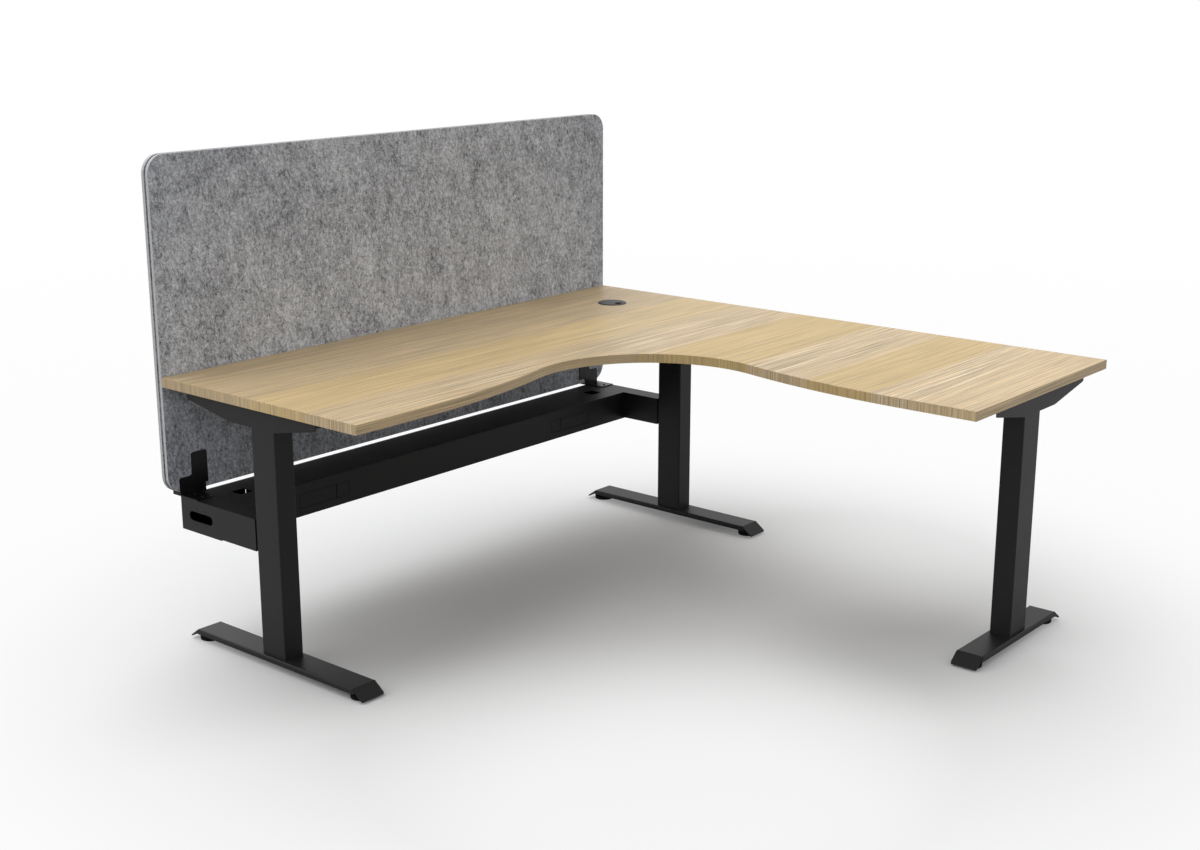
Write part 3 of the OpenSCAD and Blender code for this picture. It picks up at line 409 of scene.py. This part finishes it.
def felt_board(name, node):
    """A board with round corners and softened arrises, in the space of its CAD node."""
    low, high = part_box(node)
    rim = []
    for cx, cz, start in ((high.x, high.z, 0), (low.x, high.z, 90), (low.x, low.z, 180),
                          (high.x, low.z, 270)):
        mx = cx - math.copysign(BOARD_CORNER, cx)
        mz = cz - BOARD_CORNER if cz == high.z else cz + BOARD_CORNER
        for step in range(CORNER_STEPS + 1):
            a = math.radians(start + step * 90 / CORNER_STEPS)
            rim.append((mx + BOARD_CORNER * math.cos(a), mz + BOARD_CORNER * math.sin(a)))
    work = bmesh.new()
    front = [work.verts.new((px, low.y, pz)) for px, pz in rim]
    back = [work.verts.new((px, high.y, pz)) for px, pz in rim]
    faces = [work.faces.new(front), work.faces.new(list(reversed(back)))]
    for i in range(len(rim)):
        j = (i + 1) % len(rim)
        work.faces.new((front[j], front[i], back[i], back[j]))
    arrises = [edge for face in faces for edge in face.edges]
    bmesh.ops.bevel(work, geom=arrises, offset=BOARD_ARRIS, segments=ARRIS_STEPS,
                    affect="EDGES", profile=0.5)
    # The two flat sides take the felt's face, and all the rest its lighter cut edge, partly a
    # painted highlight.
    for face in work.faces:
        face.material_index = 0 if abs(face.normal.y) > 0.9 else 1
    bmesh.ops.recalc_face_normals(work, faces=work.faces)
    mesh = bpy.data.meshes.new(name)
    work.to_mesh(mesh)
    work.free()
    mesh.shade_smooth()
    mesh.set_sharp_from_angle(angle=math.radians(40))
    board = bpy.data.objects.new(name, mesh)
    bpy.context.scene.collection.objects.link(board)
    mesh.materials.append(felt)
    mesh.materials.append(felt_cut_edge_and_highlight)
    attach(board, "desk")
    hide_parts(node)


felt_board("front_felt_board", "screen_front_felt")
felt_board("back_felt_board", "screen_back_felt")
core_board, _ = moulded("screen core", (0.02, 0.02, 0.02), 0.80, 300.0)
dress(core_board, "screen_core")

# The steelwork: tube, folded channel and pressed sheet, welded or bolted together and powder
# coated in one fine-textured anthracite. The brackets, spacers and beam bolts are blacker, and
# the socket blanks are plastic with the same fine texture.


def powder_coat(name, colour, rough):
    """Baked powder: a fine peel all over, with a slight haze in its tone and gloss."""
    coat, shader, place = new_finish(name)
    peel = place.grain(700.0, 2.0)
    haze = place.grain(9.0, 2.0)
    drive(shader, Base_Color=(haze.swing(0.3) + peel.swing(0.35) + 1.0).shaded(colour),
          Roughness=haze.swing(0.08) + peel.swing(0.12) + rough, Specular_IOR_Level=0.20,
          Normal=relief(peel, 0.00012, 0.5))
    return coat


anthracite = powder_coat("anthracite powder coat", (0.0138, 0.0138, 0.0140), 0.44)
dress(anthracite, "beam_channel", "beam_lid", "lid_ledges", "left_beam_arm", "right_beam_arm",
      "left_column", "corner_column", "return_column", "left_foot", "corner_foot", "return_foot",
      "left_support_arm", "corner_support_arm", "return_support_arm", "rail_a", "rail_b")
black_coat = powder_coat("black powder coat", (0.005, 0.005, 0.005), 0.27)
dress(black_coat, "left_screen_bracket", "right_screen_bracket", "left_beam_spacer",
      "right_beam_spacer", "beam_bolts")
blank_plastic = powder_coat("socket blank plastic", (0.0134, 0.0134, 0.0136), 0.46)
dress(blank_plastic, "left_wide_blank", "left_narrow_blank", "right_wide_blank",
      "right_narrow_blank")

# The screen stands on two rubber pads in its brackets, and the desk on six black
# plastic levelling pads on threaded stems.
rubber, _ = moulded("black rubber", (0.012, 0.012, 0.012), 0.75, 250.0)
pad_plastic, pad_shader = moulded("levelling pad plastic", (0.0035, 0.0035, 0.0035), 0.60, 400.0)
drive(pad_shader, Specular_IOR_Level=0.12)
dress(rubber, "left_screen_pad", "right_screen_pad")
dress(pad_plastic, "left_front_glide", "left_rear_glide", "corner_front_glide",
      "corner_rear_glide", "return_front_glide", "return_rear_glide")

# The nuts and bolts in the feet and on the columns are steel with a bright zinc plating,
# a little cloudy, as it comes out of the bath.
zinc, zinc_shader, zinc_place = new_finish("zinc plating")
cloudy = zinc_place.grain(180.0).swing(0.3) + 1.0
drive(zinc_shader, Base_Color=cloudy.shaded((0.55, 0.56, 0.58)), Metallic=1.0,
      Roughness=zinc_place.grain(60.0).swing(0.3) + 0.34)
dress(zinc, "glide_nuts", "foot_bolts", "column_bolts")

# The small screws: steel with a tapered head and a hexagon socket. Black ones go down through the
# brackets' soles and through their tabs into the screen; zinc plated ones go up into the top and
# hold the rails' plates.
SCREW_HEAD = 0.004
SCREW_HEAD_HIGH = 0.0025
SCREW_SHANK = 0.002
KEY_ACROSS = 0.003
HEAD_TAPER = 0.7
HEAD_SIDES = 28
SHANK_SIDES = 20
SAME_POINT = 1e-6
END_LAYER = 1e-4
# A hexagon that is one across its flats has this radius to its corners.
HEXAGON_RADIUS = 0.57735


def loose_solids(mesh):
    """The corners of each loose solid in a mesh, as one array of points for each."""
    work = bmesh.new()
    work.from_mesh(mesh)
    bmesh.ops.remove_doubles(work, verts=work.verts, dist=SAME_POINT)
    waiting = set(work.verts)
    solids = []
    while waiting:
        one = [waiting.pop()]
        for vert in one:
            for edge in vert.link_edges:
                other = edge.other_vert(vert)
                if other in waiting:
                    waiting.remove(other)
                    one.append(other)
        solids.append(np.array([vert.co for vert in one]))
    work.free()
    return solids


def screw_places(*names):
    """Seat under the head, direction out of the head and shank length, for each screw."""
    places = []
    for name in names:
        for spots in loose_solids(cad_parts[name].data):
            low, high = spots.min(axis=0), spots.max(axis=0)
            k = int(np.argmax(np.abs(high - low - 2 * SCREW_HEAD)))
            seat = (low + high) / 2
            off = spots - seat
            off[:, k] = 0.0
            wide = np.linalg.norm(off, axis=1)
            wide_high = wide[spots[:, k] > high[k] - END_LAYER].max()
            wide_low = wide[spots[:, k] < low[k] + END_LAYER].max()
            out = 1.0 if wide_high > wide_low else -1.0
            seat[k] = (high[k] if out > 0 else low[k]) - out * SCREW_HEAD_HIGH
            axis = [0.0, 0.0, 0.0]
            axis[k] = out
            shank = float(high[k] - low[k]) - SCREW_HEAD_HIGH
            places.append(([round(float(v), 6) for v in seat], axis, shank))
    return sorted(places)


def screw_tree():
    """A head with a hexagon socket and a shank at each point, turned along the point's axis."""
    tree = bpy.data.node_groups.new("driven screws", "GeometryNodeTree")
    face = tree.interface
    face.new_socket("Geometry", in_out="INPUT", socket_type="NodeSocketGeometry")
    sizes = {}
    for name in ("Head Radius", "Head Height", "Shank Radius", "Key Across"):
        made = face.new_socket(name, in_out="INPUT", socket_type="NodeSocketFloat")
        sizes[name] = made.identifier
    made = face.new_socket("Finish", in_out="INPUT", socket_type="NodeSocketMaterial")
    sizes["Finish"] = made.identifier
    face.new_socket("Geometry", in_out="OUTPUT", socket_type="NodeSocketGeometry")
    given = tree.nodes.new("NodeGroupInput")
    points, wide, high, thin, across, finish = (Tint(tree, given.outputs[i]) for i in range(6))
    cone = points.node("GeometryNodeMeshCone", None,
                       {"Vertices": HEAD_SIDES, "Side Segments": 2, "Depth": high,
                        "Radius Top": wide * HEAD_TAPER, "Radius Bottom": wide})
    key = points.node("GeometryNodeMeshCylinder", None,
                      {"Vertices": 6, "Radius": across * HEXAGON_RADIUS, "Depth": high * 1.2})
    key = key.node("GeometryNodeTransform", None,
                   {"Geometry": key, "Translation": (high * 0.0).joined(0.0, high)})
    head = cone.node("GeometryNodeMeshBoolean", {"operation": "DIFFERENCE", "solver": "EXACT"},
                     {"Mesh 1": cone, "Mesh 2": key})
    shank = points.node("GeometryNodeMeshCylinder", None,
                        {"Vertices": SHANK_SIDES, "Radius": thin, "Depth": 1.0})
    shank = shank.node("GeometryNodeTransform", None,
                       {"Geometry": shank, "Translation": (0.0, 0.0, -0.5)})
    axis = points.node("GeometryNodeInputNamedAttribute", {"data_type": "FLOAT_VECTOR"},
                       {"Name": "axis"})
    reach = points.node("GeometryNodeInputNamedAttribute", {"data_type": "FLOAT"},
                        {"Name": "reach"})
    turned = axis.node("FunctionNodeAlignRotationToVector", {"axis": "Z"}, {"Vector": axis})
    stretch = reach.node("ShaderNodeCombineXYZ", None, {0: 1.0, 1: 1.0, 2: reach})
    heads = points.node("GeometryNodeInstanceOnPoints", None,
                        {"Points": points, "Instance": head, "Rotation": turned})
    shanks = points.node("GeometryNodeInstanceOnPoints", None,
                         {"Points": points, "Instance": shank, "Rotation": turned,
                          "Scale": stretch})
    both = heads.node("GeometryNodeJoinGeometry", None, {0: heads})
    tree.links.new(shanks.socket, both.socket.node.inputs[0])
    real = both.node("GeometryNodeRealizeInstances", None, {0: both})
    done = real.node("GeometryNodeSetMaterial", None, {"Geometry": real, "Material": finish})
    tree.links.new(done.socket, tree.nodes.new("NodeGroupOutput").inputs[0])
    return tree, sizes


screw_rule, screw_sizes = screw_tree()


def drive_screws(name, finish, slot, *nodes):
    """Sets a screw at every place where the nodes have one, as one plain mesh."""
    places = screw_places(*nodes)
    seats = bpy.data.meshes.new(name + "_seats")
    seats.from_pydata([seat for seat, _, _ in places], [], [])
    axes = seats.attributes.new("axis", "FLOAT_VECTOR", "POINT")
    axes.data.foreach_set("vector", [v for _, axis, _ in places for v in axis])
    reaches = seats.attributes.new("reach", "FLOAT", "POINT")
    reaches.data.foreach_set("value", [shank for _, _, shank in places])
    holder = bpy.data.objects.new(name + "_seats", seats)
    bpy.context.scene.collection.objects.link(holder)
    rule = holder.modifiers.new("screws", "NODES")
    rule.node_group = screw_rule
    for key, value in (("Head Radius", SCREW_HEAD), ("Head Height", SCREW_HEAD_HIGH),
                       ("Shank Radius", SCREW_SHANK), ("Key Across", KEY_ACROSS),
                       ("Finish", finish)):
        rule[screw_sizes[key]] = value
    ready = holder.evaluated_get(bpy.context.evaluated_depsgraph_get())
    mesh = bpy.data.meshes.new_from_object(ready)
    mesh.name = name
    screws = bpy.data.objects.new(name, mesh)
    bpy.context.scene.collection.objects.link(screws)
    bpy.data.objects.remove(holder)
    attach(screws, "desk")
    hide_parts(*nodes)


drive_screws("black_screws", black_coat, "black_steel", "bracket_screws", "screen_screws")
drive_screws("zinc_screws", zinc, "zinc", "top_screws", "rail_bolts")
